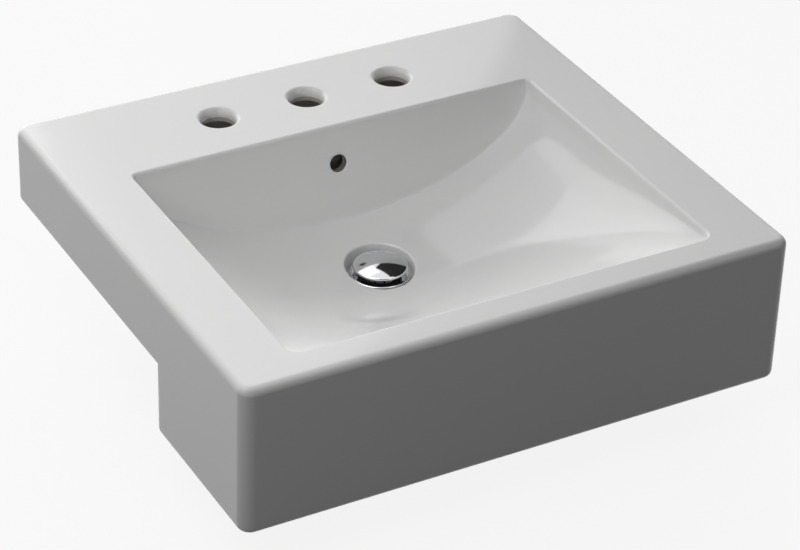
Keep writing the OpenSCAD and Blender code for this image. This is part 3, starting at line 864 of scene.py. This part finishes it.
# plug: domed cap with a bored boss under it
plug = {
    "rim": 0.0024, "crown": 0.005, "wall": 0.0016, "domeSteps": 14, "steps": 128, "boss": 0.007,
    "bore": 0.00405, "roof": 0.0018, "sealSeat": 0.0095, "rimSoft": 0.0016, "footSoft": 0.0004,
    "innerSoft": 0.0003,
}


def makePlug():
    radius, foot = capHigh.x, capLow.z
    rimTop = capHigh.z - plug["crown"]
    rimFoot = rimTop - plug["rim"]
    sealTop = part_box("plug_seal")[1].z
    steps = plug["domeSteps"]

    def dome(r, reach):
        return plug["crown"] * (1 - (r / reach) ** 2)

    corners = [(radius * k / steps, rimTop + dome(radius * k / steps, radius)) for k in range(steps)]
    corners += [(radius, rimTop, plug["rimSoft"]), (radius, rimFoot, plug["footSoft"])]
    reach = radius - plug["wall"]
    corners.append((reach, rimFoot, plug["innerSoft"]))
    inner = [reach - (reach - plug["sealSeat"]) * k / steps for k in range(1, steps + 1)]
    corners += [(r, rimFoot + plug["rim"] - plug["wall"] + dome(r, reach)) for r in inner]
    corners += [(plug["sealSeat"], sealTop), (plug["boss"], sealTop),
                (plug["boss"], foot, plug["footSoft"]), (plug["bore"], foot, plug["innerSoft"]),
                (plug["bore"], rimFoot - plug["roof"]), (0, rimFoot - plug["roof"])]
    keep(turned(outline(corners), plug["steps"]), "plug_dome", "plug", "chrome", ["plug_cap"])


makePlug()

# plug's seal: a flat ring round the boss whose edge reaches out in a thin lip
seal = {"clear": 0.00005, "lip": 0.0006, "soft": 0.0003, "foot": 0.004, "root": 0.0035, "top": 0.002}


def makeSeal():
    low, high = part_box("plug_seal")
    bore, lip, soft = plug["boss"] + seal["clear"], seal["lip"], seal["soft"]
    corners = [(bore, low.z), (high.x - seal["foot"], low.z, soft),
               (high.x - seal["root"], low.z + lip, soft), (high.x, low.z + lip / 3, soft),
               (high.x, high.z - lip, lip), (high.x - seal["top"], high.z, lip), (bore, high.z)]
    keep(turned(outline(corners)), "plug_gasket", "plug", "rubber", ["plug_seal"])


makeSeal()

# plain washers under the flange and on the nut
washers = {
    "flange_washer": {"bore": 0.02125, "soft": 0.0005, "slot": "rubber", "node": "upper_washer"},
    "nut_washer": {"bore": 0.02125, "soft": 0.0004, "slot": "nylon", "node": "slip_washer"},
}


def makeWasher(name):
    washer = washers[name]
    low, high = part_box(washer["node"])
    bore, soft = washer["bore"], washer["soft"]
    corners = [(bore, low.z, soft), (high.x, low.z, soft), (high.x, high.z, soft), (bore, high.z, soft)]
    keep(turned(outline(corners)), name, "basin_body", washer["slot"], [washer["node"]])


# gasket under the boss, its upper edge sloped
gasket = {"bore": 0.02125, "slope": 0.0018, "soft": 0.0005, "footSoft": 0.0008, "shoulderSoft": 0.0006}


def makeGasket():
    low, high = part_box("lower_gasket")
    bore, slope, soft = gasket["bore"], gasket["slope"], gasket["soft"]
    corners = [(bore, low.z, soft), (high.x, low.z, gasket["footSoft"]),
               (high.x, high.z - slope, gasket["shoulderSoft"]), (high.x - slope, high.z, soft),
               (bore, high.z, soft)]
    keep(turned(outline(corners)), "boss_gasket", "basin_body", "rubber", ["lower_gasket"])


makeWasher("flange_washer")
makeGasket()
makeWasher("nut_washer")

# cartridge sleeve: a tube with a floor, slimmer between its two bands
cartridgeSteps = 64
sleeve = {
    "bore": 0.0082, "eye": 0.00305, "floor": 0.004, "waist": 0.0006, "lowBand": 0.006, "lowSlope": 0.0068,
    "highBand": 0.004, "highSlope": 0.0048, "bandSoft": 0.0001, "eyeSoft": 0.0002, "topSoft": 0.0003,
    "footSoft": 0.0006,
}


def makeSleeve():
    low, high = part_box("cartridge_sleeve")
    bore, eye, floor = sleeve["bore"], sleeve["eye"], low.z + sleeve["floor"]
    waist, soft = high.x - sleeve["waist"], sleeve["bandSoft"]
    corners = [(eye, low.z, sleeve["eyeSoft"]), (high.x, low.z, sleeve["footSoft"]),
               (high.x, low.z + sleeve["lowBand"], soft), (waist, low.z + sleeve["lowSlope"], soft),
               (waist, high.z - sleeve["highSlope"], soft), (high.x, high.z - sleeve["highBand"], soft),
               (high.x, high.z, sleeve["topSoft"]), (bore, high.z, sleeve["topSoft"]),
               (bore, floor, sleeve["footSoft"]), (eye, floor, sleeve["eyeSoft"])]
    tube = turned(outline(corners), cartridgeSteps)
    keep(tube, "sleeve_tube", "basin_body", "acetal", ["cartridge_sleeve"])


makeSleeve()

# plunger: a rod on a wider foot
plunger = {"foot": 0.00195, "rod": 0.004, "footSoft": 0.0003, "rootSoft": 0.0002, "tipSoft": 0.0005}


def makePlunger():
    low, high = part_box("plunger")
    foot, rod, soft = low.z + plunger["foot"], plunger["rod"], plunger["footSoft"]
    corners = [(0, low.z), (high.x, low.z, soft), (high.x, foot, soft), (rod, foot, plunger["rootSoft"]),
               (rod, high.z, plunger["tipSoft"]), (0, high.z)]
    keep(turned(outline(corners), cartridgeSteps), "plunger_rod", "plug", "acetal", ["plunger"])


makePlunger()

# rod seal: a rubber ring, round in section
rodRing = {"sides": 20}


def makeRodRing():
    low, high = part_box("rod_seal")
    wire = (high.z - low.z) / 2
    circle = [(high.x - wire + wire * math.cos(a), low.z + wire + wire * math.sin(a))
              for a in fullTurn(rodRing["sides"])]
    keep(turned(circle, cartridgeSteps), "rod_ring", "basin_body", "rubber", ["rod_seal"])


makeRodRing()

# back nut: six flats whose corners are turned down at both ends, with a round collar on top
nut = {
    "flats": 0.054, "bore": 0.021, "sides": 96, "soft": 0.0004, "chamfer": 0.0016,
    "footEdge": 0.0002, "footCone": 0.0022, "footFade": 2.2,
    "topEdge": 0.001, "topCone": 0.003, "topFade": 1.6,
    "collar": 0.003, "collarRadius": 0.030, "neck": 0.0002, "neckTop": 0.0006,
}


def hexRadius(turn, flats):
    return flats / 2 / math.cos((turn + math.pi / 6) % (math.pi / 3) - math.pi / 6)


def makeNut():
    low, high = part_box("back_nut")
    hexTop = high.z - nut["collar"]
    half, bore, soft, chamfer = nut["flats"] / 2, nut["bore"], nut["soft"], nut["chamfer"]
    turns = fullTurn(nut["sides"])

    def hexagon(reach, height):
        radii = [min(reach, hexRadius(a + math.pi / 6, nut["flats"])) for a in turns]
        return [aroundWaste(r, a, height) for r, a in zip(radii, turns)]

    bm = bmesh.new()
    loop = first = startLoop(bm, hexagon(bore + soft, low.z))
    flatStages = [(half - soft, low.z), (half + nut["footEdge"], low.z + soft),
                  (half + nut["footCone"], low.z + chamfer), (half * 2, low.z + chamfer * nut["footFade"]),
                  (half * 2, hexTop - chamfer * nut["topFade"]), (half + nut["topCone"], hexTop - chamfer),
                  (half + nut["topEdge"], hexTop)]
    for reach, height in flatStages:
        loop = grow(bm, loop, hexagon(reach, height))
    collar = nut["collarRadius"]
    roundStages = [(collar - soft, hexTop + nut["neck"]), (collar, hexTop + nut["neckTop"]),
                   (collar, high.z - soft), (collar - soft, high.z), (bore + soft, high.z),
                   (bore, high.z - soft), (bore, low.z + soft)]
    for radius, height in roundStages:
        loop = grow(bm, loop, [aroundWaste(radius, a, height) for a in turns])
    bmesh.ops.bridge_loops(bm, edges=loopEdges(bm, loop) + loopEdges(bm, first))
    bmesh.ops.recalc_face_normals(bm, faces=bm.faces)
    keep(bm, "brass_nut", "basin_body", "brass", ["back_nut"])


makeNut()

# spider screw: round head with a hexagon socket
screw = {
    "tip": 0.0024, "tipLength": 0.0006, "shank": 0.003, "shoulder": 0.0048, "head": 0.0051, "soft": 0.0003,
    "headHeight": 0.0035, "socket": 0.004, "socketDepth": 0.0022, "sides": 48,
    "crown": [(0.0051, 0.0014), (0.0048, 0.0006), (0.0041, 0.0001), (0.0034, 0.0)],    # radius, height
}


def makeScrew():
    low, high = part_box("spider_screw")
    turns = fullTurn(screw["sides"])

    def circle(radius, height):
        return [aroundWaste(radius, a, height) for a in turns]

    under = low.z + screw["headHeight"]
    stages = [(screw["shank"], high.z - screw["tipLength"]), (screw["shank"], under),
              (screw["shoulder"], under), (screw["head"], under - screw["soft"])]
    stages += [(radius, low.z + above) for radius, above in screw["crown"]]
    bm = bmesh.new()
    loop = first = startLoop(bm, circle(screw["tip"], high.z))
    for radius, height in stages:
        loop = grow(bm, loop, circle(radius, height))
    for height in (low.z, low.z + screw["socketDepth"]):
        loop = grow(bm, loop, [aroundWaste(hexRadius(a, screw["socket"]), a, height) for a in turns])
    for end in (first, loop):
        bmesh.ops.edgeloop_fill(bm, edges=loopEdges(bm, end))
    bmesh.ops.recalc_face_normals(bm, faces=bm.faces)
    keep(bm, "hub_screw", "basin_body", "brass", ["spider_screw"])


makeScrew()

# toothed parts of the cartridge: the CAD parts with their sharp edges broken
teeth = {"soft": 0.00012, "softSteps": 2, "flat": math.radians(0.5), "hard": math.radians(30)}


def makeToothed(name, body, slot, node):
    bm = cadCopy(node)
    bmesh.ops.dissolve_limit(bm, angle_limit=teeth["flat"], verts=bm.verts, edges=bm.edges)
    hard = [e for e in bm.edges if e.is_manifold and e.calc_face_angle() > teeth["hard"]]
    bmesh.ops.bevel(bm, geom=hard, offset=teeth["soft"], offset_type="OFFSET", segments=teeth["softSteps"],
                    profile=0.5, affect="EDGES", material=-1, clamp_overlap=True)
    bmesh.ops.recalc_face_normals(bm, faces=bm.faces)
    keep(bm, name, body, slot, [node])


makeToothed("toothed_collar", "basin_body", "acetal", "sleeve_collar")
makeToothed("toothed_rotor", "rotor", "rotor_acetal", "click_rotor")

# spring: round wire wound in a helix
spring = {"wire": 0.0012, "turns": 6, "stepsPerTurn": 36, "sides": 14}


def makeSpring():
    low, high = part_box("cartridge_spring")
    wire = spring["wire"] / 2
    middle = high.x - wire
    foot, rise = low.z + wire, high.z - low.z - 2 * wire
    climb = rise / (2 * math.pi * spring["turns"] * middle)
    count = spring["turns"] * spring["stepsPerTurn"]
    bm = bmesh.new()
    first = loop = None
    for k in range(count + 1):
        turn = 2 * math.pi * k / spring["stepsPerTurn"]
        outward = Vector((math.cos(turn), math.sin(turn), 0))
        along = Vector((-math.sin(turn), math.cos(turn), climb)).normalized()
        centre = Vector((0, wasteY, foot + rise * k / count)) + outward * middle
        points = around(centre, outward, outward.cross(along), wire, spring["sides"])
        loop = grow(bm, loop, points) if loop else startLoop(bm, points)
        first = first or loop
    for end in (first, loop):
        bmesh.ops.edgeloop_fill(bm, edges=loopEdges(bm, end))
    bmesh.ops.recalc_face_normals(bm, faces=bm.faces)
    coil = keep(bm, "wound_spring", "basin_body", "spring_steel", ["cartridge_spring"])
    joints = frame["record"]["behaviour"]["joints"]
    travel = next(j for j in joints if j["name"] == "plug_travel")["range_m"][0]
    1 + travel / (high.z - low.z)
    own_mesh(coil)


makeSpring()
print("waste finished")
